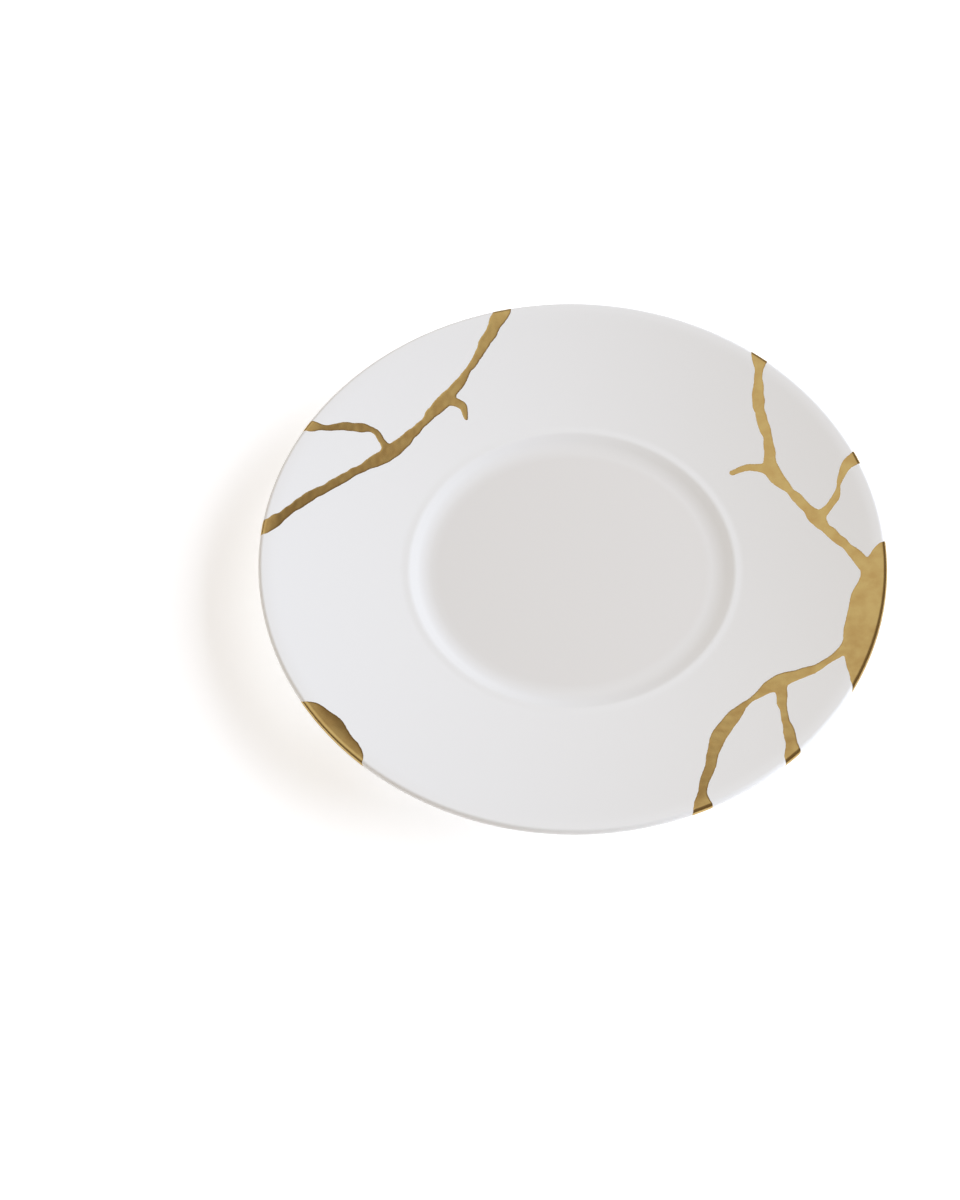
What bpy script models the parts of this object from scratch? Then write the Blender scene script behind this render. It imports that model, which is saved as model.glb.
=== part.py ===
"""A porcelain saucer, in metres, with +Z up.

The real piece is one turned and glazed body: a flat well that the cup stands in, a low soft step
round the well with an almost level ledge outside it, a wide rim that rises gently and eases off
into a rounded lip, and a foot ring underneath. The origin is the middle of the foot ring's
underside, and Z is the axis that the saucer is turned on.
"""
import math

import bpy

# The well, the step round it and the almost level ledge outside the step
WELL_RADIUS = 0.0365  # the flat floor, to where it starts to curve up
WELL_DEPTH = 0.0013  # from the floor up to the ledge
WELL_FILLET = 0.0130  # hollow curve from the floor into the step
STEP_SLOPE = math.radians(18)
SHOULDER_FILLET = 0.0040  # rounded edge between the step and the ledge
LEDGE_WIDTH = 0.0018
LEDGE_SLOPE = math.radians(2)
LEDGE_FILLET = 0.0120  # hollow curve from the ledge into the rim

# The rim and its lip
SAUCER_RADIUS = 0.0815  # to the outermost point of the lip
RIM_RISE = 0.00645  # from the step's upper edge up to where the rim eases off into the lip
RIM_SAG = 0.0004  # how far the rim hangs below a straight line across it
LIP_WIDTH = 0.0030  # the band that eases off, at the rim's outer edge
LIP_SLOPE = math.radians(8)
LIP_FILLET = 0.0300  # crowned curve from the rim into the lip
LIP_RADIUS = 0.0010  # rounding of the very edge, half of its thickness

# Wall thicknesses, measured straight down
FLOOR_THICKNESS = 0.0034
INNER_RIM_THICKNESS = 0.0040
MIDDLE_RIM_THICKNESS = 0.0033

# The foot ring
FOOT_HEIGHT = 0.0042  # from the table up to the recess inside the ring
FOOT_WIDTH = 0.0024  # across the ring where it stands
FOOT_INSET = 0.0020  # from the step's upper edge in to the ring's outer edge
FOOT_DRAFT = math.radians(20)  # lean of the ring's inner side, for the mould
LAND_FILLET = 0.0004  # rounding of both edges that it stands on
FOOT_FILLET = 0.0030  # hollow curve from the ring out into the rim's underside
RECESS_FILLET = 0.0015

# How finely the round forms are cut into flat faces
SEGMENTS = 96  # round the axis
ARC_ERROR = 0.00002  # furthest that a face may lie inside an arc of the profile
MERGE_DISTANCE = 0.00001

GLAZE_COLOUR = (0.80, 0.80, 0.79, 1.0)
GLAZE_ROUGHNESS = 0.08


def arc(centre, radius, start, end):
    """Points along an arc from the angle start to the angle end, both of them included."""
    widest = 2 * math.acos(1 - ARC_ERROR / radius)
    steps = max(1, math.ceil(abs(end - start) / widest))
    angles = [start + (end - start) * step / steps for step in range(steps + 1)]
    return [(centre[0] + radius * math.cos(a), centre[1] + radius * math.sin(a)) for a in angles]


def rounded(corners):
    """An outline through (radius, height, fillet) corners, each with an arc that meets both runs.

    Where two arcs would need more than the run between them, both are made smaller to share it.
    """
    runs = [
        (end[0] - start[0], end[1] - start[1]) for start, end in zip(corners, corners[1:])
    ]
    lengths = [math.hypot(*run) for run in runs]
    headings = [math.atan2(run[1], run[0]) for run in runs]
    turns = [
        math.remainder(after - before, math.tau) for before, after in zip(headings, headings[1:])
    ]
    # how much of each run an arc wants, with none at the outline's two ends
    wanted = [corner[2] * math.tan(abs(turn) / 2) for corner, turn in zip(corners[1:], turns)]
    wanted = [0.0, *wanted, 0.0]
    shares = [
        min(1.0, length / max(before + after, MERGE_DISTANCE))
        for length, before, after in zip(lengths, wanted, wanted[1:])
    ]

    outline = [corners[0][:2]]
    for index, turn in enumerate(turns, start=1):
        across, up, fillet = corners[index]
        share = min(shares[index - 1], shares[index])
        radius, back = fillet * share, wanted[index] * share
        heading = headings[index - 1]
        side = math.copysign(math.pi / 2, turn)
        start = (across - back * math.cos(heading), up - back * math.sin(heading))
        centre = (
            start[0] + radius * math.cos(heading + side),
            start[1] + radius * math.sin(heading + side),
        )
        outline += arc(centre, radius, heading - side, heading - side + turn)
    return [*outline, corners[-1][:2]]


def without_doubles(outline):
    """The outline without points that fall on the one before, where two arcs share a whole run."""
    kept = outline[:1]
    for point in outline[1:]:
        if math.dist(point, kept[-1]) > MERGE_DISTANCE:
            kept.append(point)
    return kept


def saucer_profile():
    """Half of the saucer's section: out along its top, round the lip and back in underneath."""
    floor = FOOT_HEIGHT + FLOOR_THICKNESS
    step_foot = WELL_RADIUS + WELL_FILLET * math.tan(STEP_SLOPE / 2)
    shoulder = (step_foot + WELL_DEPTH / math.tan(STEP_SLOPE), floor + WELL_DEPTH)
    ledge = (shoulder[0] + LEDGE_WIDTH, shoulder[1] + LEDGE_WIDTH * math.tan(LEDGE_SLOPE))
    rim_edge = (SAUCER_RADIUS - LIP_WIDTH, shoulder[1] + RIM_RISE)

    # the rim is one shallow arc, so its corner lies twice the sag below the straight line
    rim_middle = (
        (ledge[0] + rim_edge[0]) / 2,
        (ledge[1] + rim_edge[1]) / 2 - 2 * RIM_SAG,
    )
    rim_arc = math.dist(ledge, rim_edge) ** 2 / (8 * RIM_SAG)

    # the top meets the rounded edge at a tangent
    lip_across = SAUCER_RADIUS - LIP_RADIUS
    lip_top = lip_across - LIP_RADIUS * math.sin(LIP_SLOPE)
    lip_rise = (lip_top - rim_edge[0]) * math.tan(LIP_SLOPE)
    lip_centre = (lip_across, rim_edge[1] + lip_rise - LIP_RADIUS * math.cos(LIP_SLOPE))
    top = rounded(
        [
            (0.0, floor, 0.0),
            (step_foot, floor, WELL_FILLET),
            (*shoulder, SHOULDER_FILLET),
            (*ledge, LEDGE_FILLET),
            (*rim_middle, rim_arc),
            (*rim_edge, LIP_FILLET),
            (lip_top, rim_edge[1] + lip_rise, 0.0),
        ]
    )

    # and so does the underside
    under_middle = (rim_middle[0], rim_middle[1] - MIDDLE_RIM_THICKNESS)
    reach = (lip_centre[0] - under_middle[0], lip_centre[1] - under_middle[1])
    under_slope = math.atan2(reach[1], reach[0]) - math.asin(LIP_RADIUS / math.hypot(*reach))
    lip = arc(
        lip_centre, LIP_RADIUS, math.pi / 2 + LIP_SLOPE, under_slope - math.pi / 2
    )

    foot_outer = shoulder[0] - FOOT_INSET
    foot_inner = foot_outer - FOOT_WIDTH
    under = rounded(
        [
            (*lip[-1], 0.0),
            (*under_middle, rim_arc),
            (shoulder[0], shoulder[1] - INNER_RIM_THICKNESS, FOOT_FILLET),
            (foot_outer, 0.0, LAND_FILLET),
            (foot_inner, 0.0, LAND_FILLET),
            (foot_inner - FOOT_HEIGHT * math.tan(FOOT_DRAFT), FOOT_HEIGHT, RECESS_FILLET),
            (0.0, FOOT_HEIGHT, 0.0),
        ]
    )
    return without_doubles(top + lip + under)


def glazed_porcelain():
    """White hard porcelain under a clear gloss glaze."""
    material = bpy.data.materials.new("glazed_porcelain")
    material.use_nodes = True
    shader = material.node_tree.nodes["Principled BSDF"]
    shader.inputs["Base Color"].default_value = GLAZE_COLOUR
    shader.inputs["Roughness"].default_value = GLAZE_ROUGHNESS
    shader.inputs["Metallic"].default_value = 0.0
    return material


def turned_body(name, profile, material):
    """A closed body made by turning a profile about the Z axis, from its top to its underside."""
    mesh = bpy.data.meshes.new(name)
    points = [(across, 0.0, up) for across, up in profile]
    mesh.from_pydata(points, [(i, i + 1) for i in range(len(points) - 1)], [])
    mesh.materials.append(material)
    body = bpy.data.objects.new(name, mesh)
    bpy.context.collection.objects.link(body)

    turn = body.modifiers.new("turned on the wheel", "SCREW")
    turn.axis = "Z"
    turn.angle = math.tau
    turn.steps = SEGMENTS
    turn.render_steps = SEGMENTS
    turn.use_merge_vertices = True
    turn.merge_threshold = MERGE_DISTANCE
    turn.use_smooth_shade = True
    return body


def main():
    for old in list(bpy.data.objects):
        bpy.data.objects.remove(old, do_unlink=True)
    turned_body("saucer", saucer_profile(), glazed_porcelain())


main()
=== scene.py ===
"""A white porcelain saucer with gold mends on its rim, dressed and lit in a pale studio.

The glazed body is one turned surface. Each gold mend is a thin film on the glaze: the part of a
fine grid where a field, drawn from a few strokes, is above zero. Lengths are in metres, apart from
the strokes, which are drawn in degrees round the saucer and millimetres in from its edge.
"""
import itertools
import math

import bpy
import numpy as np
from mathutils import Matrix, Vector


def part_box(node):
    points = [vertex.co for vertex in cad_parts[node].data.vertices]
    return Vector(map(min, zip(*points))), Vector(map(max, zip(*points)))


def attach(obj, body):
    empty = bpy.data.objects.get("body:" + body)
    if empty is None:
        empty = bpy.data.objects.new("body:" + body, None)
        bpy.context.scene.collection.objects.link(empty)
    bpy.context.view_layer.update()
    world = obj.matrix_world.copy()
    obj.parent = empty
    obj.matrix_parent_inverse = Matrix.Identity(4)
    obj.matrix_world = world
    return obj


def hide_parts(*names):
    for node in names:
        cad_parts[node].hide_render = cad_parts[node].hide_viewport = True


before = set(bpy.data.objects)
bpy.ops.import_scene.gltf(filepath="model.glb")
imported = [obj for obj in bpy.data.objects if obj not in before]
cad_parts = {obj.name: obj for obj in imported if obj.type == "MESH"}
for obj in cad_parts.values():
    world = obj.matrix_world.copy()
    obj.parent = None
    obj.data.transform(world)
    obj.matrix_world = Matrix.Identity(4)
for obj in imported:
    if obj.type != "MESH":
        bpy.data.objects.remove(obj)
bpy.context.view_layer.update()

bl_info = {
    "name": "Gold-mended porcelain saucer",
    "version": (1, 0, 0),
    "blender": (4, 5, 0),
    "location": "3D View > Sidebar > Saucer",
    "description": "Turns a glazed saucer, lays gold mends on its rim and sets up a pale studio",
    "category": "Object",
}

SOLID_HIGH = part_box("saucer")[1]

# The reference frame in pixels, and the longer side of the camera's sensor in millimetres
FRAME_WIDTH, FRAME_HEIGHT = 960, 1200
SENSOR = 36.0

# How finely the surfaces are cut
TURNS = 400  # faces round the body
BODY_ARC_ERROR = 0.000001  # furthest that the body's faces lie inside an arc of the profile
FILM_ARC_ERROR = 0.0000002
FILM_CELL = 0.00022  # the gold's grid, along the glaze and round the edge
FILM_MARGIN = 2.0  # mm of the grid past the widest stroke
SNAP = 0.3  # share of a cell within which a corner of the grid moves on to a mend's edge
SETTLE_STEPS, SETTLE_REACH = 3, 0.4  # such moves, and the longest as a share of a cell
LEAST_SLOPE = 0.2  # taken for the field where it is flatter, so that no point runs away

# How a mend's edges run: the rounding where strokes join, and (size, wavelength) of their wander
SEAM_BLEND = 0.00045
SEAM_WANDER = [(0.00022, 0.0110), (0.00010, 0.0044), (0.00002, 0.0015)]

# The gold's coat, in shares of its thickness, and the length of its swells
COAT_LEVEL, COAT_SWELL, SWELL_LENGTH = 0.82, 0.10, 0.0026
EDGE_STEP = 0.06  # how high the coat starts at its edge
SUNK = 0.6  # how far its underside lies below the glaze

# The gold mends. Each stroke is a line of (degrees round from +X, mm in from the edge along the
# glaze, mm wide); below zero the line has gone round the edge to the underside. A chip that was
# filled with gold is a wide stroke along the edge itself.
STAR_MEND = {
    "filled chip": [
        (-29.0, 0.0, 0.6), (-25.0, 0.0, 7.5), (-19.0, 0.0, 15.0), (-12.0, 0.0, 18.5),
        (-5.0, 0.0, 14.0), (0.0, 0.0, 9.0), (4.0, 0.0, 0.6),
    ],
    "upper seam": [
        (-3.0, 5.0, 3.4), (4.0, 11.0, 2.6), (12.0, 17.0, 3.4), (21.0, 20.5, 2.4),
        (29.0, 22.0, 4.0), (38.0, 17.0, 2.4), (45.0, 12.5, 3.2), (50.0, 5.0, 2.8),
        (52.5, 0.0, 5.0), (53.5, -5.0, 2.2),
    ],
    "spur": [(29.0, 22.0, 3.2), (33.5, 26.5, 2.0), (35.0, 31.0, 0.8)],
    "upper branch": [
        (12.0, 17.0, 2.6), (15.5, 11.0, 1.8), (21.0, 6.0, 2.4), (23.0, 0.0, 4.4),
        (23.5, -4.0, 1.8),
    ],
    "lower seam": [
        (-19.0, 6.0, 3.6), (-27.0, 12.0, 2.4), (-34.0, 18.5, 3.6), (-43.0, 21.0, 2.2),
        (-53.0, 19.0, 3.8), (-60.0, 12.0, 2.6), (-64.0, 6.0, 3.0), (-66.0, 0.0, 5.2),
        (-66.5, -5.0, 2.2),
    ],
    "lower branch": [
        (-34.0, 18.5, 2.8), (-40.0, 12.0, 1.8), (-44.0, 5.5, 2.4), (-47.0, 0.0, 4.6),
        (-47.5, -4.5, 1.8),
    ],
}
ARCH_MEND = {
    "long seam": [
        (103.5, -5.0, 2.2), (104.0, 0.0, 4.8), (106.0, 4.0, 3.8), (109.5, 9.0, 2.4),
        (115.0, 15.0, 2.2), (124.0, 20.5, 3.6), (135.0, 23.5, 2.0), (146.0, 23.0, 4.2),
        (156.0, 18.5, 2.4), (164.0, 12.5, 3.4), (170.0, 7.5, 2.2), (174.0, 3.5, 3.2),
        (176.0, 0.0, 4.4), (176.5, -5.0, 2.2),
    ],
    "branch": [
        (146.0, 23.0, 3.0), (143.5, 16.5, 2.0), (146.5, 10.0, 2.8), (150.0, 5.0, 2.0),
        (151.5, 0.0, 4.4), (152.0, -4.5, 1.8),
    ],
    "short crack": [(124.0, 20.5, 2.8), (121.5, 25.0, 2.0), (122.5, 28.5, 1.3)],
}
RIM_CHIP = {
    "filled chip": [
        (214.0, 0.0, 0.6), (217.0, 0.0, 6.0), (222.0, 0.0, 9.5), (227.5, 0.0, 7.0),
        (231.0, 0.0, 0.6),
    ],
}


def linear(colour):
    """An sRGB hex colour as linear red, green, blue and an alpha of one."""
    parts = [int(colour[i:i + 2], 16) / 255 for i in (1, 3, 5)]
    return (*[p / 12.92 if p <= 0.04045 else ((p + 0.055) / 1.055) ** 2.4 for p in parts], 1.0)


class SaucerShape(bpy.types.PropertyGroup):
    """The saucer's own sizes. Its radius, height and place come from the solid."""

    well_radius: bpy.props.FloatProperty(
        name="Well radius", description="Flat floor, to where it starts to curve up",
        default=0.0365, unit="LENGTH")
    floor_height: bpy.props.FloatProperty(
        name="Floor height", description="Top of the well's floor above the table",
        default=0.0076, unit="LENGTH")
    well_depth: bpy.props.FloatProperty(
        name="Well depth", description="From the floor up to the ledge round the well",
        default=0.0013, unit="LENGTH")
    well_fillet: bpy.props.FloatProperty(
        name="Well fillet", description="Hollow curve from the floor into the step",
        default=0.0130, unit="LENGTH")
    step_slope: bpy.props.FloatProperty(
        name="Step slope", description="Lean of the step round the well",
        default=math.radians(18), subtype="ANGLE")
    shoulder_fillet: bpy.props.FloatProperty(
        name="Shoulder fillet", description="Rounded edge between the step and the ledge",
        default=0.0040, unit="LENGTH")
    ledge_width: bpy.props.FloatProperty(
        name="Ledge width", description="Almost level band round the well",
        default=0.0018, unit="LENGTH")
    ledge_slope: bpy.props.FloatProperty(
        name="Ledge slope", description="Lean of the band round the well",
        default=math.radians(2), subtype="ANGLE")
    ledge_fillet: bpy.props.FloatProperty(
        name="Ledge fillet", description="Hollow curve from the ledge into the rim",
        default=0.0120, unit="LENGTH")
    rim_sag: bpy.props.FloatProperty(
        name="Rim sag", description="How far the rim hangs below a straight line across it",
        default=0.0004, unit="LENGTH")
    lip_width: bpy.props.FloatProperty(
        name="Lip width", description="Band that eases off at the rim's outer edge",
        default=0.0030, unit="LENGTH")
    lip_slope: bpy.props.FloatProperty(
        name="Lip slope", description="Lean of the band that eases off",
        default=math.radians(8), subtype="ANGLE")
    lip_fillet: bpy.props.FloatProperty(
        name="Lip fillet", description="Crowned curve from the rim into the lip",
        default=0.0300, unit="LENGTH")
    lip_radius: bpy.props.FloatProperty(
        name="Lip radius", description="Rounding of the very edge",
        default=0.0010, unit="LENGTH")
    inner_thickness: bpy.props.FloatProperty(
        name="Inner rim thickness", description="Wall below the step's upper edge",
        default=0.0040, unit="LENGTH")
    middle_thickness: bpy.props.FloatProperty(
        name="Middle rim thickness", description="Wall below the middle of the rim",
        default=0.0033, unit="LENGTH")
    foot_height: bpy.props.FloatProperty(
        name="Foot height", description="From the table up to the recess inside the ring",
        default=0.0042, unit="LENGTH")
    foot_width: bpy.props.FloatProperty(
        name="Foot width", description="Across the ring where it stands",
        default=0.0024, unit="LENGTH")
    foot_inset: bpy.props.FloatProperty(
        name="Foot inset", description="From the step's upper edge in to the ring's outer edge",
        default=0.0020, unit="LENGTH")
    foot_draft: bpy.props.FloatProperty(
        name="Foot draft", description="Lean of the ring's inner side",
        default=math.radians(20), subtype="ANGLE")
    land_fillet: bpy.props.FloatProperty(
        name="Land fillet", description="Rounding of both edges that the ring stands on",
        default=0.0004, unit="LENGTH")
    foot_fillet: bpy.props.FloatProperty(
        name="Foot fillet", description="Hollow curve from the ring out under the rim",
        default=0.0030, unit="LENGTH")
    recess_fillet: bpy.props.FloatProperty(
        name="Recess fillet", description="Hollow curve inside the ring",
        default=0.0015, unit="LENGTH")


class SaucerLook(bpy.types.PropertyGroup):
    """Colours and finish of the glaze, the bare foot and the gold."""

    glaze_colour: bpy.props.FloatVectorProperty(
        name="Glaze", description="White body seen through its clear glaze",
        default=linear("#F0F0EF")[:3], size=3, min=0, max=1, subtype="COLOR")
    # painted shade: a darker, warmer tone for the well that stands in for the shade falling in it
    well_shade_colour: bpy.props.FloatVectorProperty(
        name="Painted well shade", description="Where the glaze ran thick, in the well",
        default=linear("#E7E5E2")[:3], size=3, min=0, max=1, subtype="COLOR")
    glaze_roughness: bpy.props.FloatProperty(
        name="Glaze roughness", description="Gloss of the fired glaze",
        default=0.09, min=0, max=1)
    foot_colour: bpy.props.FloatVectorProperty(
        name="Bare foot", description="Unglazed porcelain where the ring stands",
        default=linear("#D2CDC6")[:3], size=3, min=0, max=1, subtype="COLOR")
    gold_colour: bpy.props.FloatVectorProperty(
        name="Gold", description="Fired gold where it lies thick",
        default=linear("#C8AE74")[:3], size=3, min=0, max=1, subtype="COLOR")
    thin_gold_colour: bpy.props.FloatVectorProperty(
        name="Thin gold", description="Fired gold where the brush left it thin",
        default=linear("#C0A168")[:3], size=3, min=0, max=1, subtype="COLOR")
    film_thickness: bpy.props.FloatProperty(
        name="Gold thickness", description="How far the gold stands above the glaze",
        default=0.00005, unit="LENGTH")
    film_edge: bpy.props.FloatProperty(
        name="Gold edge", description="Width over which the gold rises to its thickness",
        default=0.00045, unit="LENGTH")


class SaucerStudio(bpy.types.PropertyGroup):
    """The camera, the lights and the floor."""

    camera_elevation: bpy.props.FloatProperty(
        name="Camera elevation", description="Above the saucer's own plane",
        default=math.radians(57.26), subtype="ANGLE")
    camera_roll: bpy.props.FloatProperty(
        name="Camera roll", description="Turn of the picture about the line of sight",
        default=math.radians(0.97), subtype="ANGLE")
    camera_distance: bpy.props.FloatProperty(
        name="Camera distance", description="From the camera to the middle of the lip",
        default=0.750, unit="LENGTH")
    focal_pixels: bpy.props.FloatProperty(
        name="Focal length in pixels", description="Scale of the picture times the distance",
        default=2889.0)
    middle_across: bpy.props.FloatProperty(
        name="Middle across", description="Pixel column of the lip's middle, from the left",
        default=571.9)
    middle_down: bpy.props.FloatProperty(
        name="Middle down", description="Pixel row of the lip's middle, from the top",
        default=554.3)
    floor_colour: bpy.props.FloatVectorProperty(
        name="Floor", description="Pale matt table top",
        default=linear("#F8F7F6")[:3], size=3, min=0, max=1, subtype="COLOR")
    floor_size: bpy.props.FloatProperty(
        name="Floor size", description="Side of the square floor", default=16.0, unit="LENGTH")
    floor_gap: bpy.props.FloatProperty(
        name="Floor gap", description="How far the table top lies under the foot",
        default=0.00002, unit="LENGTH")
    floor_glow: bpy.props.FloatProperty(
        name="Floor glow", description="Light that the table gives off itself", default=0.40)
    room_light: bpy.props.FloatProperty(
        name="Room light", description="Dim light from all round", default=0.25)
    panel_light: bpy.props.FloatProperty(
        name="Panel light", description="Light from the middle of the panel overhead",
        default=0.96)
    panel_way: bpy.props.FloatVectorProperty(
        name="Panel way", description="Direction in which the panel overhead hangs",
        default=(-0.35, 0.35, 0.87), size=3, subtype="DIRECTION")
    panel_core: bpy.props.FloatProperty(
        name="Panel core", description="Full light within this angle of the panel's middle",
        default=math.radians(18), subtype="ANGLE")
    panel_edge: bpy.props.FloatProperty(
        name="Panel edge", description="No light of the panel past this angle",
        default=math.radians(42), subtype="ANGLE")
    room_colour: bpy.props.FloatVectorProperty(
        name="Room", description="Warm tint of the dim room",
        default=linear("#FFE8D2")[:3], size=3, min=0, max=1, subtype="COLOR")
    panel_colour: bpy.props.FloatVectorProperty(
        name="Panel", description="Tint of the panel overhead",
        default=linear("#FFFCF4")[:3], size=3, min=0, max=1, subtype="COLOR")
    key_power: bpy.props.FloatProperty(
        name="Key power", description="Cool softbox to the right, in watts", default=59.0)
    key_place: bpy.props.FloatVectorProperty(
        name="Key place", description="Middle of the softbox to the right",
        default=(1.74, 0.21, 0.96), size=3, unit="LENGTH")
    key_size: bpy.props.FloatVectorProperty(
        name="Key size", description="Width and height of the softbox to the right",
        default=(2.4, 1.4), size=2, unit="LENGTH")
    key_colour: bpy.props.FloatVectorProperty(
        name="Key", description="Cool tint of the softbox to the right",
        default=linear("#E8F1FF")[:3], size=3, min=0, max=1, subtype="COLOR")
    fill_power: bpy.props.FloatProperty(
        name="Fill power", description="Low softbox to the left, in watts", default=9.0)
    fill_place: bpy.props.FloatVectorProperty(
        name="Fill place", description="Middle of the softbox to the left",
        default=(-1.95, -0.35, 0.30), size=3, unit="LENGTH")
    fill_size: bpy.props.FloatVectorProperty(
        name="Fill size", description="Width and height of the softbox to the left",
        default=(1.8, 0.5), size=2, unit="LENGTH")
    fill_colour: bpy.props.FloatVectorProperty(
        name="Fill", description="Warm tint of the softbox to the left",
        default=linear("#FFFBF6")[:3], size=3, min=0, max=1, subtype="COLOR")


def rounded(corners, arc_error):
    """An outline through (radius, height, fillet) corners, each with an arc that meets both runs.

    An arc of radius R starts R tan(turn / 2) before its corner. Where two arcs would need more
    than the run between them, both are made smaller to share it.
    """
    corners = np.array(corners)
    runs = np.diff(corners[:, :2], axis=0)
    lengths = np.hypot(runs[:, 0], runs[:, 1])
    headings = np.arctan2(runs[:, 1], runs[:, 0])
    turns = (np.diff(headings) + math.pi) % math.tau - math.pi
    wanted = np.concatenate([[0], corners[1:-1, 2] * np.tan(np.abs(turns) / 2), [0]])
    shares = np.minimum(1, lengths / np.maximum(wanted[:-1] + wanted[1:], arc_error))
    shares = np.minimum(shares[:-1], shares[1:])
    pieces = [corners[:1, :2]]
    for corner, heading, turn, share, back in zip(
        corners[1:-1], headings, turns, shares, wanted[1:-1]
    ):
        side = math.copysign(math.pi / 2, turn)
        start = corner[:2] - back * share * np.array([math.cos(heading), math.sin(heading)])
        towards = np.array([math.cos(heading + side), math.sin(heading + side)])
        centre = start + corner[2] * share * towards
        pieces.append(arc(centre, corner[2] * share, heading - side, heading - side + turn,
                          arc_error))
    pieces.append(corners[-1:, :2])
    return np.concatenate(pieces)


def arc(centre, radius, start, end, arc_error):
    """Points on an arc, spaced so that a chord lies no further than arc_error inside it."""
    widest = 2 * math.acos(1 - min(arc_error / radius, 0.5))
    angles = np.linspace(start, end, max(1, math.ceil(abs(end - start) / widest)) + 1)
    return np.stack([centre[0] + radius * np.cos(angles), centre[1] + radius * np.sin(angles)], 1)


def saucer_profile(shape, film, arc_error):
    """Half of the saucer's section: out along its top, round the lip and back in underneath.

    The lip's edge and top stay one film of gold inside the solid, so that the gold on them still
    lies within its box.
    """
    radius, height = SOLID_HIGH.x - film, SOLID_HIGH.z - film
    floor = shape.floor_height
    step_foot = shape.well_radius + shape.well_fillet * math.tan(shape.step_slope / 2)
    shoulder = (step_foot + shape.well_depth / math.tan(shape.step_slope),
                floor + shape.well_depth)
    ledge = (shoulder[0] + shape.ledge_width,
             shoulder[1] + shape.ledge_width * math.tan(shape.ledge_slope))

    # the lip hangs from its highest point, and the rim rises to meet it
    lip_centre = (radius - shape.lip_radius, height - shape.lip_radius)
    lip_start = (lip_centre[0] - shape.lip_radius * math.sin(shape.lip_slope),
                 lip_centre[1] + shape.lip_radius * math.cos(shape.lip_slope))
    eased = lip_start[0] - (radius - shape.lip_width)
    rim_edge = (radius - shape.lip_width, lip_start[1] - eased * math.tan(shape.lip_slope))

    # the rim is one shallow arc, so its corner lies twice the sag below the straight line
    middle = ((ledge[0] + rim_edge[0]) / 2, (ledge[1] + rim_edge[1]) / 2 - 2 * shape.rim_sag)
    rim_arc = math.dist(ledge, rim_edge) ** 2 / (8 * shape.rim_sag)
    top = rounded(
        [
            (0.0, floor, 0.0),
            (step_foot, floor, shape.well_fillet),
            (*shoulder, shape.shoulder_fillet),
            (*ledge, shape.ledge_fillet),
            (*middle, rim_arc),
            (*rim_edge, shape.lip_fillet),
            (*lip_start, 0.0),
        ],
        arc_error,
    )

    # the underside leaves the lip at a tangent
    under = (middle[0], middle[1] - shape.middle_thickness)
    reach = (lip_centre[0] - under[0], lip_centre[1] - under[1])
    under_slope = math.atan2(reach[1], reach[0]) - math.asin(shape.lip_radius / math.hypot(*reach))
    lip = arc(lip_centre, shape.lip_radius, math.pi / 2 + shape.lip_slope,
              under_slope - math.pi / 2, arc_error)
    foot_outer = shoulder[0] - shape.foot_inset
    foot_inner = foot_outer - shape.foot_width
    recess = foot_inner - shape.foot_height * math.tan(shape.foot_draft)
    bottom = rounded(
        [
            (*lip[-1], 0.0),
            (*under, rim_arc),
            (shoulder[0], shoulder[1] - shape.inner_thickness, shape.foot_fillet),
            (foot_outer, 0.0, shape.land_fillet),
            (foot_inner, 0.0, shape.land_fillet),
            (recess, shape.foot_height, shape.recess_fillet),
            (0.0, shape.foot_height, 0.0),
        ],
        arc_error,
    )
    outline = np.concatenate([top, lip, bottom])
    steps = np.hypot(*np.diff(outline, axis=0).T)
    return outline[np.concatenate([[True], steps > arc_error])]


def new_piece(name, points, faces, materials, slots=None, sharp=None):
    """A smooth-shaded mesh piece at the origin, from an array of points and a list of faces.

    Edges that turn by more than the angle sharp are shaded as creases.
    """
    mesh = bpy.data.meshes.new(name)
    mesh.from_pydata(points, [], faces)
    for material in materials:
        mesh.materials.append(material)
    if slots is not None:
        mesh.polygons.foreach_set("material_index", slots)
    mesh.update()
    mesh.shade_smooth()
    if sharp:
        mesh.set_sharp_from_angle(angle=sharp)
    piece = bpy.data.objects.new(name, mesh)
    bpy.context.scene.collection.objects.link(piece)
    return piece


def turned_surface(profile):
    """Points and faces of a profile turned about Z.

    Point (i, j) is (r_i cos a_j, r_i sin a_j, z_i) with a_j = 2 pi j / TURNS. The profile starts
    and ends on the axis, where a fan of triangles closes on one point.
    """
    turn = np.arange(TURNS) * math.tau / TURNS
    ring, up = profile[1:-1, 0, None], profile[1:-1, 1, None]
    rings = np.stack(
        [ring * np.cos(turn), ring * np.sin(turn), np.broadcast_to(up, (len(ring), TURNS))], 2
    )
    poles = np.array([[0, 0, profile[0, 1]], [0, 0, profile[-1, 1]]])
    points = np.concatenate([rings.reshape(-1, 3), poles])
    index = np.arange(len(ring) * TURNS).reshape(len(ring), TURNS)
    beside = np.roll(index, -1, axis=1)
    quads = np.stack([index[:-1], index[1:], beside[1:], beside[:-1]], 2).reshape(-1, 4)
    first, last = np.full(TURNS, len(points) - 2), np.full(TURNS, len(points) - 1)
    fans = np.concatenate([
        np.stack([first, index[0], beside[0]], 1), np.stack([last, beside[-1], index[-1]], 1)
    ])
    return points, quads.tolist() + fans.tolist()


def ripples(points, wavelength, seed, waves=7):
    """A wandering value of about -1 to 1 at each point: a sum of zigzag waves of like length that
    run in random directions, with a fixed seed."""
    rng = np.random.default_rng(seed)
    ways = rng.normal(size=(waves, 3))
    ways *= rng.uniform(0.7, 1.4, (waves, 1)) / np.linalg.norm(ways, axis=1, keepdims=True)
    phases = rng.uniform(0, math.tau, waves)
    zigzags = np.arcsin(np.sin(points @ ways.T * (math.tau / wavelength) + phases))
    return zigzags.sum(axis=-1) / waves ** 0.5


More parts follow.
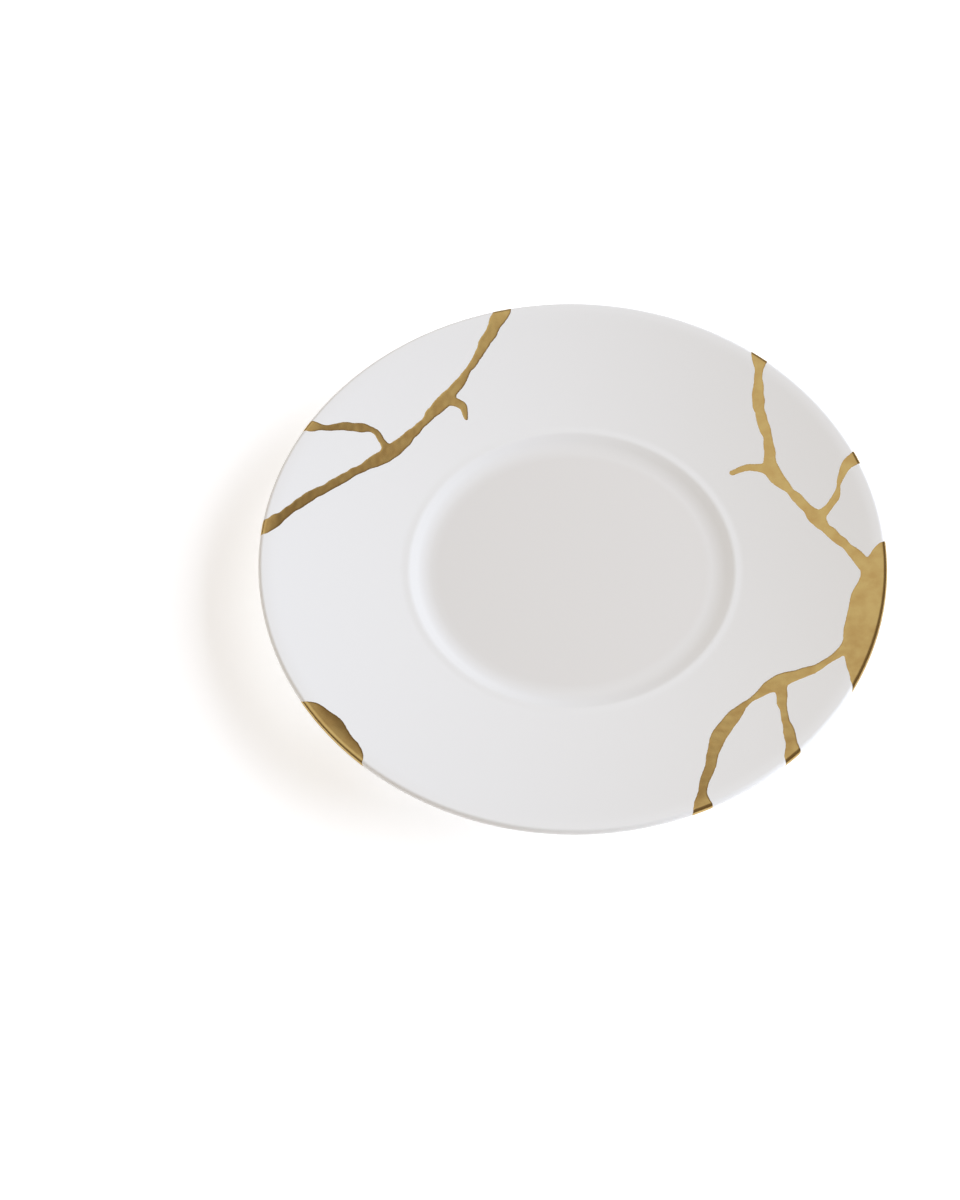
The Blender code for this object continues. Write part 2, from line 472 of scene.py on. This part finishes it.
class Glaze:
    """The body's surface as two parameters: the angle round it and the way along its profile."""

    def __init__(self, profile):
        steps = np.hypot(*np.diff(profile, axis=0).T)
        self.along = np.concatenate([[0], np.cumsum(steps)])
        self.profile = profile
        way = np.gradient(profile, self.along, axis=0)
        way /= np.linalg.norm(way, axis=1, keepdims=True)
        self.normal = np.stack([-way[:, 1], way[:, 0]], 1)
        self.edge = self.along[np.argmax(profile[:, 0])]

    def at(self, angle, along, lift=0.0):
        """Points on the glaze, or lifted off it: (r cos a, r sin a, z) plus the lift times the
        outward normal, with r, z and the normal read along the profile."""
        read = lambda values: np.interp(along, self.along, values)
        across = read(self.profile[:, 0]) + lift * read(self.normal[:, 0])
        up = read(self.profile[:, 1]) + lift * read(self.normal[:, 1])
        return np.stack([across * np.cos(angle), across * np.sin(angle), up], -1)


def smooth_line(stroke, steps=10):
    """A stroke's points with a cubic through them, each row still (degrees, mm in, mm wide).

    Between two points the cubic leaves and arrives along the line between their neighbours.
    """
    rows = np.array(stroke)
    ends = np.concatenate([2 * rows[:1] - rows[1:2], rows, 2 * rows[-1:] - rows[-2:-1]])
    lean = (ends[2:] - ends[:-2]) / 2
    t = np.linspace(0, 1, steps, endpoint=False)[:, None, None]
    spans = ((2 * t ** 3 - 3 * t ** 2 + 1) * rows[:-1] + (t ** 3 - 2 * t ** 2 + t) * lean[:-1]
             + (3 * t ** 2 - 2 * t ** 3) * rows[1:] + (t ** 3 - t ** 2) * lean[1:])
    return np.concatenate([spans.transpose(1, 0, 2).reshape(-1, 3), rows[-1:]])


def mend_field(glaze, strokes, seed):
    """The function that says how far inside a mend's gold a point of the glaze lies, in metres.

    For one stroke it is the half width of the nearest stretch less the distance to it. Strokes
    join by the logarithm of a sum of exponentials, which rounds the corners where they meet, and
    ripples in it make the edges wander as painted gold does.
    """
    lines = []
    for stroke in strokes.values():
        rows = smooth_line(stroke)
        points = glaze.at(np.radians(rows[:, 0]), glaze.edge - rows[:, 1] / 1000)
        lines.append((points, rows[:, 2] / 2000))

    def field(angle, along):
        here = glaze.at(angle, along)
        inside = []
        for points, halves in lines:
            best = np.full(here.shape[:-1], -1.0)
            for start, end, near, far in zip(points, points[1:], halves, halves[1:]):
                run = end - start
                share = np.clip((here - start) @ run / (run @ run), 0, 1)
                gap = np.linalg.norm(here - start - share[..., None] * run, axis=-1)
                best = np.maximum(best, near + (far - near) * share - gap)
            inside.append(best / SEAM_BLEND)
        joined = np.logaddexp.reduce(inside) * SEAM_BLEND
        for number, (size, wavelength) in enumerate(SEAM_WANDER):
            joined += size * ripples(here, wavelength, seed + number)
        return joined

    return field


def trimmed_cells(depth):
    """The parts of a grid's cells where a value is not below zero, as polygons by their corners.

    Walking round a cell, each corner that isn't below zero is kept, and where the value changes
    sign between two corners the edge is cut. Corners are numbered along the grid's rows. The cut
    of the edge that leaves a corner along the first axis has the number of all corners more, and
    along the second axis twice that.
    """
    state = np.sign(depth).astype(int)
    total = depth.size
    number = np.arange(total).reshape(depth.shape)
    spots = [number[:-1, :-1], number[1:, :-1], number[1:, 1:], number[:-1, 1:]]
    cuts = [spots[0] + total, spots[1] + 2 * total, spots[3] + total, spots[0] + 2 * total]
    signs = [state[:-1, :-1], state[1:, :-1], state[1:, 1:], state[:-1, 1:]]
    polygons = []
    for pattern in itertools.product((-1, 0, 1), repeat=4):
        if max(pattern) < 1:
            continue
        here = np.logical_and.reduce([sign == want for sign, want in zip(signs, pattern)])
        walk = []
        for corner in range(4):
            if pattern[corner] >= 0:
                walk.append(spots[corner][here])
            if pattern[corner] * pattern[(corner + 1) % 4] < 0:
                walk.append(cuts[corner][here])
        polygons.append(np.stack(walk, 1))
    return polygons


def gold_film(glaze, strokes, seed, thickness, edge):
    """Points and faces of a closed thin film over the glaze, where the mend's field is above zero.

    The grid of angle and way along the profile is trimmed to the field. Its corners close to the
    zero line, and the cuts of its edges, move down the field's slope on to the line. The top rises
    from there to its thickness as a quarter of an ellipse, and the underside lies just below the
    glaze.
    """
    field = mend_field(glaze, strokes, seed)
    rows = np.concatenate([smooth_line(s) for s in strokes.values()])
    margin = rows[:, 2].max() / 2 + FILM_MARGIN
    radius = glaze.profile[:, 0].max()
    ends = np.radians([rows[:, 0].min(), rows[:, 0].max()]) + np.array([-1, 1]) * (
        margin / 1000 / radius)
    stops = glaze.edge - np.array([rows[:, 1].max() + margin, rows[:, 1].min() - margin]) / 1000
    angles = np.arange(*ends, FILM_CELL / radius)
    ways = np.arange(*stops, FILM_CELL)
    turn, way = np.meshgrid(angles, ways, indexing="ij")
    depth = field(turn, way)

    def settle(turn, way):
        """Moves points down the field's slope on to its zero line, in a few short steps."""
        small = FILM_CELL / 10
        longest = SETTLE_REACH * FILM_CELL
        for _ in range(SETTLE_STEPS):
            ring = np.interp(way, glaze.along, glaze.profile[:, 0])
            here = field(turn, way)
            slope = np.stack([field(turn + small / ring, way), field(turn, way + small)]) - here
            slope /= small
            move = -here * slope / np.maximum((slope ** 2).sum(axis=0), LEAST_SLOPE)
            move *= longest / np.maximum(np.hypot(*move), longest)
            turn, way = turn + move[0] / ring, way + move[1]
        return turn, way

    close = np.abs(depth) < SNAP * FILM_CELL
    turn[close], way[close] = settle(turn[close], way[close])
    depth[close] = 0
    cut_turn, cut_way = np.zeros((2, *depth.shape)), np.zeros((2, *depth.shape))
    for axis in (0, 1):
        before = (slice(None, -1), slice(None)) if axis == 0 else (slice(None), slice(None, -1))
        after = (slice(1, None), slice(None)) if axis == 0 else (slice(None), slice(1, None))
        crossed = depth[before] * depth[after] < 0
        share = depth[before][crossed] / (depth[before] - depth[after])[crossed]
        mixed = [v[before][crossed] + share * (v[after] - v[before])[crossed] for v in (turn, way)]
        cut_turn[axis][before][crossed], cut_way[axis][before][crossed] = settle(*mixed)

    polygons = trimmed_cells(depth)
    turn = np.concatenate([turn.ravel(), cut_turn.ravel()])
    way = np.concatenate([way.ravel(), cut_way.ravel()])
    depth = np.concatenate([np.maximum(depth, 0).ravel(), np.zeros(cut_turn.size)])
    used, place = np.unique(np.concatenate([p.ravel() for p in polygons]), return_inverse=True)
    splits = np.cumsum([p.size for p in polygons])[:-1]
    polygons = [n.reshape(p.shape) for n, p in zip(np.split(place, splits), polygons)]
    turn, way, depth = turn[used], way[used], depth[used]

    share = np.clip(depth / edge, 0, 1)
    coat = COAT_LEVEL + COAT_SWELL * ripples(glaze.at(turn, way), SWELL_LENGTH, seed + 9)
    lift = thickness * (EDGE_STEP + coat * np.sqrt(share * (2 - share)))
    top = glaze.at(turn, way, np.minimum(lift, thickness))
    under = glaze.at(turn, way, -SUNK * thickness)

    # walls stand on each edge that only one polygon has
    count = len(used)
    edges = np.concatenate([np.stack([p, np.roll(p, -1, 1)], 2).reshape(-1, 2) for p in polygons])
    lone = ~np.isin(edges[:, 0] * count + edges[:, 1], edges[:, 1] * count + edges[:, 0])
    walls = np.concatenate([edges[lone], edges[lone, ::-1] + count], 1)
    faces = [face for p in polygons for face in (*p[:, ::-1].tolist(), *(p + count).tolist())]
    return np.concatenate([top, under]), faces + walls.tolist()


def add_node(tree, kind, inputs=None, stops=None, **settings):
    """Adds a node with its settings. Each input is a value, or another node's output to link, and
    stops are a colour ramp's (place, linear colour) pairs."""
    node = tree.nodes.new(kind)
    for name, value in settings.items():
        setattr(node, name, value)
    for name, value in (inputs or {}).items():
        if isinstance(value, bpy.types.NodeSocket):
            tree.links.new(value, node.inputs[name])
        else:
            node.inputs[name].default_value = value
    if stops:
        elements = node.color_ramp.elements
        while len(elements) < len(stops):
            elements.new(1.0)
        for element, (place, colour) in zip(elements, stops):
            element.position = place
            element.color = colour
    return node


def new_material(name):
    """An empty material with its Principled shader and the object's own coordinates."""
    material = bpy.data.materials.new(name)
    material.use_nodes = True
    tree = material.node_tree
    tree.nodes.clear()
    shader = add_node(tree, "ShaderNodeBsdfPrincipled")
    add_node(tree, "ShaderNodeOutputMaterial", {"Surface": shader.outputs["BSDF"]})
    place = add_node(tree, "ShaderNodeTexCoord").outputs["Object"]
    return material, tree, shader, place


def fill(shader, **values):
    """Sets a shader's inputs, each named with underscores for spaces, to values or links."""
    for name, value in values.items():
        socket = shader.inputs[name.replace("_", " ")]
        if isinstance(value, bpy.types.NodeSocket):
            shader.id_data.links.new(value, socket)
        else:
            socket.default_value = value


def glazed_porcelain(look, shape):
    """Hard white porcelain under a clear fired glaze: a bright even white with a wet gloss, and
    painted shade in the well: a darker, warmer tone that stands in for the shade falling there."""
    material, tree, shader, place = new_material("glazed_white_porcelain")
    radius = SOLID_HIGH.x
    flat = add_node(tree, "ShaderNodeVectorMath",
                    {0: place, 1: (1 / radius, 1 / radius, 0)}, operation="MULTIPLY")
    across = add_node(tree, "ShaderNodeVectorMath", {0: flat.outputs[0]}, operation="LENGTH")
    # shaded_well is painted shade for the well, a darker and warmer tone than the glaze
    glaze, shaded_well = (*look.glaze_colour, 1), (*look.well_shade_colour, 1)
    # painted shade: the darker, warmer tone of the well fades out over the step round it
    hollow = shape.well_radius / radius
    colour = add_node(tree, "ShaderNodeValToRGB", {"Fac": across.outputs["Value"]},
                      stops=[(hollow - 0.02, shaded_well), (hollow + 0.05, glaze)])
    # the glaze lies in gentle waves some 7 mm long, which only its reflections show
    waves = add_node(tree, "ShaderNodeTexNoise",
                     {"Vector": place, "Scale": 1 / 0.007, "Detail": 2.0})
    bump = add_node(tree, "ShaderNodeBump",
                    {"Height": waves.outputs["Fac"], "Strength": 1.0, "Distance": 0.00001})
    fill(shader, Base_Color=colour.outputs["Color"], Roughness=look.glaze_roughness, IOR=1.5,
         Normal=bump.outputs["Normal"])
    return material


def bare_porcelain(look):
    """Fired porcelain wiped clean of glaze and ground flat: matt, fine-grained, a little warmer."""
    material, tree, shader, place = new_material("bare_ground_porcelain")
    # grit of 0.3 mm, coarser than the real one so that it shows
    grit = add_node(tree, "ShaderNodeTexNoise",
                    {"Vector": place, "Scale": 1 / 0.0003, "Detail": 3.0})
    bump = add_node(tree, "ShaderNodeBump",
                    {"Height": grit.outputs["Fac"], "Strength": 0.6, "Distance": 0.00002})
    dark = tuple(0.86 * c for c in look.foot_colour)
    colour = add_node(tree, "ShaderNodeValToRGB", {"Fac": grit.outputs["Fac"]},
                      stops=[(0.35, (*dark, 1)), (0.65, (*look.foot_colour, 1))])
    fill(shader, Base_Color=colour.outputs["Color"], Roughness=0.65, IOR=1.5,
         Normal=bump.outputs["Normal"])
    return material


def fired_gold(look):
    """Liquid gold painted over the glaze, fired and burnished: a warm satin metal whose tone
    shifts slightly along the brush, with the fine unevenness of a painted coat."""
    material, tree, shader, place = new_material("fired_satin_gold")
    coat = add_node(tree, "ShaderNodeTexNoise",
                    {"Vector": place, "Scale": 1 / 0.0035, "Detail": 4.0})
    colour = add_node(tree, "ShaderNodeValToRGB", {"Fac": coat.outputs["Fac"]},
                      stops=[(0.3, (*look.thin_gold_colour, 1)), (0.62, (*look.gold_colour, 1))])
    gloss = add_node(tree, "ShaderNodeMapRange",
                     {"Value": coat.outputs["Fac"], "From Min": 0.3, "From Max": 0.7,
                      "To Min": 0.27, "To Max": 0.21})
    brush = add_node(tree, "ShaderNodeTexNoise",
                     {"Vector": place, "Scale": 1 / 0.0009, "Detail": 3.0})
    bump = add_node(tree, "ShaderNodeBump",
                    {"Height": brush.outputs["Fac"], "Strength": 1.0, "Distance": 0.0000025})
    fill(shader, Base_Color=colour.outputs["Color"], Metallic=1.0,
         Roughness=gloss.outputs["Result"], Normal=bump.outputs["Normal"])
    return material


def pale_table(studio):
    """A white light table: matt, faintly lit from inside, with a fine tooth."""
    material, tree, shader, place = new_material("matt_acrylic_light_table")
    tooth = add_node(tree, "ShaderNodeTexNoise",
                     {"Vector": place, "Scale": 1 / 0.002, "Detail": 2.0})
    bump = add_node(tree, "ShaderNodeBump",
                    {"Height": tooth.outputs["Fac"], "Strength": 0.2, "Distance": 0.00002})
    fill(shader, Base_Color=(*studio.floor_colour, 1), Roughness=0.9, Specular_IOR_Level=0.0,
         Emission_Color=linear("#F8FBFF"), Emission_Strength=studio.floor_glow,
         Normal=bump.outputs["Normal"])
    return material


class SAUCER_OT_turn_body(bpy.types.Operator):
    """Turn the glazed porcelain body, with a bare band where its foot ring stands"""

    bl_idname = "saucer.turn_body"
    bl_label = "Turn the body"

    def execute(self, context):
        shape, look = context.scene.saucer_shape, context.scene.saucer_look
        profile = saucer_profile(shape, look.film_thickness, BODY_ARC_ERROR)
        points, faces = turned_surface(profile)
        materials = [glazed_porcelain(look, shape), bare_porcelain(look)]
        # the glaze is wiped off the flat of the foot and its two rounded edges
        level = np.maximum(profile[1:-2, 1], profile[2:-1, 1]) < 0.5 * shape.land_fillet
        slots = np.zeros(len(faces), np.int32)
        slots[:level.size * TURNS] = np.repeat(level, TURNS)
        body = new_piece("porcelain_body", points, faces, materials, slots)
        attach(body, "root")
        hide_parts("saucer")
        return {"FINISHED"}


class SAUCER_OT_lay_gold(bpy.types.Operator):
    """Lay the gold mends on the glaze, each a thin film of seams and filled chips"""

    bl_idname = "saucer.lay_gold"
    bl_label = "Lay the gold"

    def execute(self, context):
        shape, look = context.scene.saucer_shape, context.scene.saucer_look
        glaze = Glaze(saucer_profile(shape, look.film_thickness, FILM_ARC_ERROR))
        material = fired_gold(look)
        mends = {"gold_star_mend": STAR_MEND, "gold_arch_mend": ARCH_MEND,
                 "gold_rim_chip": RIM_CHIP}
        for seed, (name, strokes) in enumerate(mends.items(), start=3):
            points, faces = gold_film(glaze, strokes, 10 * seed, look.film_thickness,
                                      look.film_edge)
            film = new_piece(name, points, faces, [material], sharp=math.radians(50))
            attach(film, "root")
        return {"FINISHED"}


class SAUCER_OT_set_studio(bpy.types.Operator):
    """Set the pale floor, the soft lights and the camera"""

    bl_idname = "saucer.set_studio"
    bl_label = "Set the studio"

    def execute(self, context):
        studio, shape = context.scene.saucer_studio, context.scene.saucer_shape
        lay_floor(studio)
        light_room(context.scene, studio)
        middle = Vector((0, 0, SOLID_HIGH.z - shape.lip_radius))
        context.scene.camera = place_camera(studio, middle)
        context.scene.view_settings.view_transform = "Standard"
        return {"FINISHED"}


def lay_floor(studio):
    """A square of table top just under the saucer's foot, so that the two don't share a plane."""
    half, low = studio.floor_size / 2, -studio.floor_gap
    corners = [(-half, -half, low), (half, -half, low), (half, half, low), (-half, half, low)]
    floor = new_piece("floor", corners, [(0, 1, 2, 3)], [pale_table(studio)])


def softbox(name, place, size, power, colour):
    """A rectangular soft light that faces the saucer's middle, and that nothing mirrors."""
    lamp = bpy.data.lights.new(name, "AREA")
    lamp.shape = "RECTANGLE"
    lamp.size, lamp.size_y = size
    lamp.energy = power
    lamp.color = colour
    light = bpy.data.objects.new(name, lamp)
    light.location = place
    light.rotation_euler = (-Vector(place)).to_track_quat("-Z", "Y").to_euler()
    light.visible_glossy = False
    bpy.context.scene.collection.objects.link(light)


def light_room(scene, studio):
    """A dim warm room with a wide pale panel overhead, a cool softbox to the right and a weak one
    low to the left.

    How lit a direction is grows smoothly from 0 to 1 with the cosine of its angle to the panel's
    middle, between the cosines of the panel's edge and core.
    """
    scene.world = bpy.data.worlds.new("dim_room_with_panel")
    scene.world.use_nodes = True
    tree = scene.world.node_tree
    way = add_node(tree, "ShaderNodeTexCoord").outputs["Generated"]
    near = add_node(tree, "ShaderNodeVectorMath",
                    {0: way, 1: Vector(studio.panel_way).normalized()}, operation="DOT_PRODUCT")
    lit = add_node(tree, "ShaderNodeMapRange",
                   {"Value": near.outputs["Value"], "From Min": math.cos(studio.panel_edge),
                    "From Max": math.cos(studio.panel_core)}, interpolation_type="SMOOTHSTEP")
    lit = lit.outputs["Result"]
    level = add_node(tree, "ShaderNodeMapRange", {
        "Value": lit, "To Min": studio.room_light, "To Max": studio.panel_light})
    colour = add_node(tree, "ShaderNodeValToRGB", {"Fac": lit},
                      stops=[(0.0, (*studio.room_colour, 1)), (1.0, (*studio.panel_colour, 1))])
    background = tree.nodes["Background"]
    tree.links.new(colour.outputs["Color"], background.inputs["Color"])
    tree.links.new(level.outputs["Result"], background.inputs["Strength"])
    softbox("key_softbox", studio.key_place, studio.key_size, studio.key_power,
            studio.key_colour)
    softbox("fill_softbox", studio.fill_place, studio.fill_size, studio.fill_power,
            studio.fill_colour)


def place_camera(studio, middle):
    """A camera that sees the lip's middle at the stated pixel of the frame.

    Its line of sight leaves the line to that middle by the pixel's offset over the focal length.
    """
    tilt, roll = studio.camera_elevation, studio.camera_roll
    back = Vector((0, -math.cos(tilt), math.sin(tilt)))
    right, up = Vector((1, 0, 0)), back.cross(Vector((1, 0, 0)))
    turned = math.cos(roll) * right + math.sin(roll) * up
    up = math.cos(roll) * up - math.sin(roll) * right
    across = (studio.middle_across - FRAME_WIDTH / 2) / studio.focal_pixels
    down = (studio.middle_down - FRAME_HEIGHT / 2) / studio.focal_pixels
    forward = (-back - across * turned + down * up).normalized()
    right = (turned - forward * turned.dot(forward)).normalized()
    up = right.cross(forward)
    data = bpy.data.cameras.new("camera")
    data.sensor_width = SENSOR
    data.lens = studio.focal_pixels * SENSOR / FRAME_HEIGHT
    data.clip_start = 0.01
    camera = bpy.data.objects.new("camera", data)
    bpy.context.scene.collection.objects.link(camera)
    turn = Matrix((right, up, -forward)).transposed().to_4x4()
    camera.matrix_world = Matrix.Translation(middle + studio.camera_distance * back) @ turn
    return camera


class VIEW3D_PT_saucer(bpy.types.Panel):
    """The saucer's steps and settings"""

    bl_label = "Saucer"
    bl_space_type = "VIEW_3D"
    bl_region_type = "UI"
    bl_category = "Saucer"

    def draw(self, context):
        for step in OPERATORS:
            self.layout.operator(step.bl_idname)
        for group in (context.scene.saucer_shape, context.scene.saucer_look,
                      context.scene.saucer_studio):
            box = self.layout.box()
            for name in type(group).__annotations__:
                box.prop(group, name)


OPERATORS = (SAUCER_OT_turn_body, SAUCER_OT_lay_gold, SAUCER_OT_set_studio)
GROUPS = {"saucer_shape": SaucerShape, "saucer_look": SaucerLook, "saucer_studio": SaucerStudio}
CLASSES = (*GROUPS.values(), *OPERATORS, VIEW3D_PT_saucer)


def register():
    for cls in CLASSES:
        bpy.utils.register_class(cls)
    for name, group in GROUPS.items():
        setattr(bpy.types.Scene, name, bpy.props.PointerProperty(type=group))


def unregister():
    for name in GROUPS:
        delattr(bpy.types.Scene, name)
    for cls in reversed(CLASSES):
        bpy.utils.unregister_class(cls)


def main():
    """Makes the whole scene."""
    register()
    bpy.ops.saucer.turn_body()
    bpy.ops.saucer.lay_gold()
    bpy.ops.saucer.set_studio()


if __name__ == "__main__":
    main()
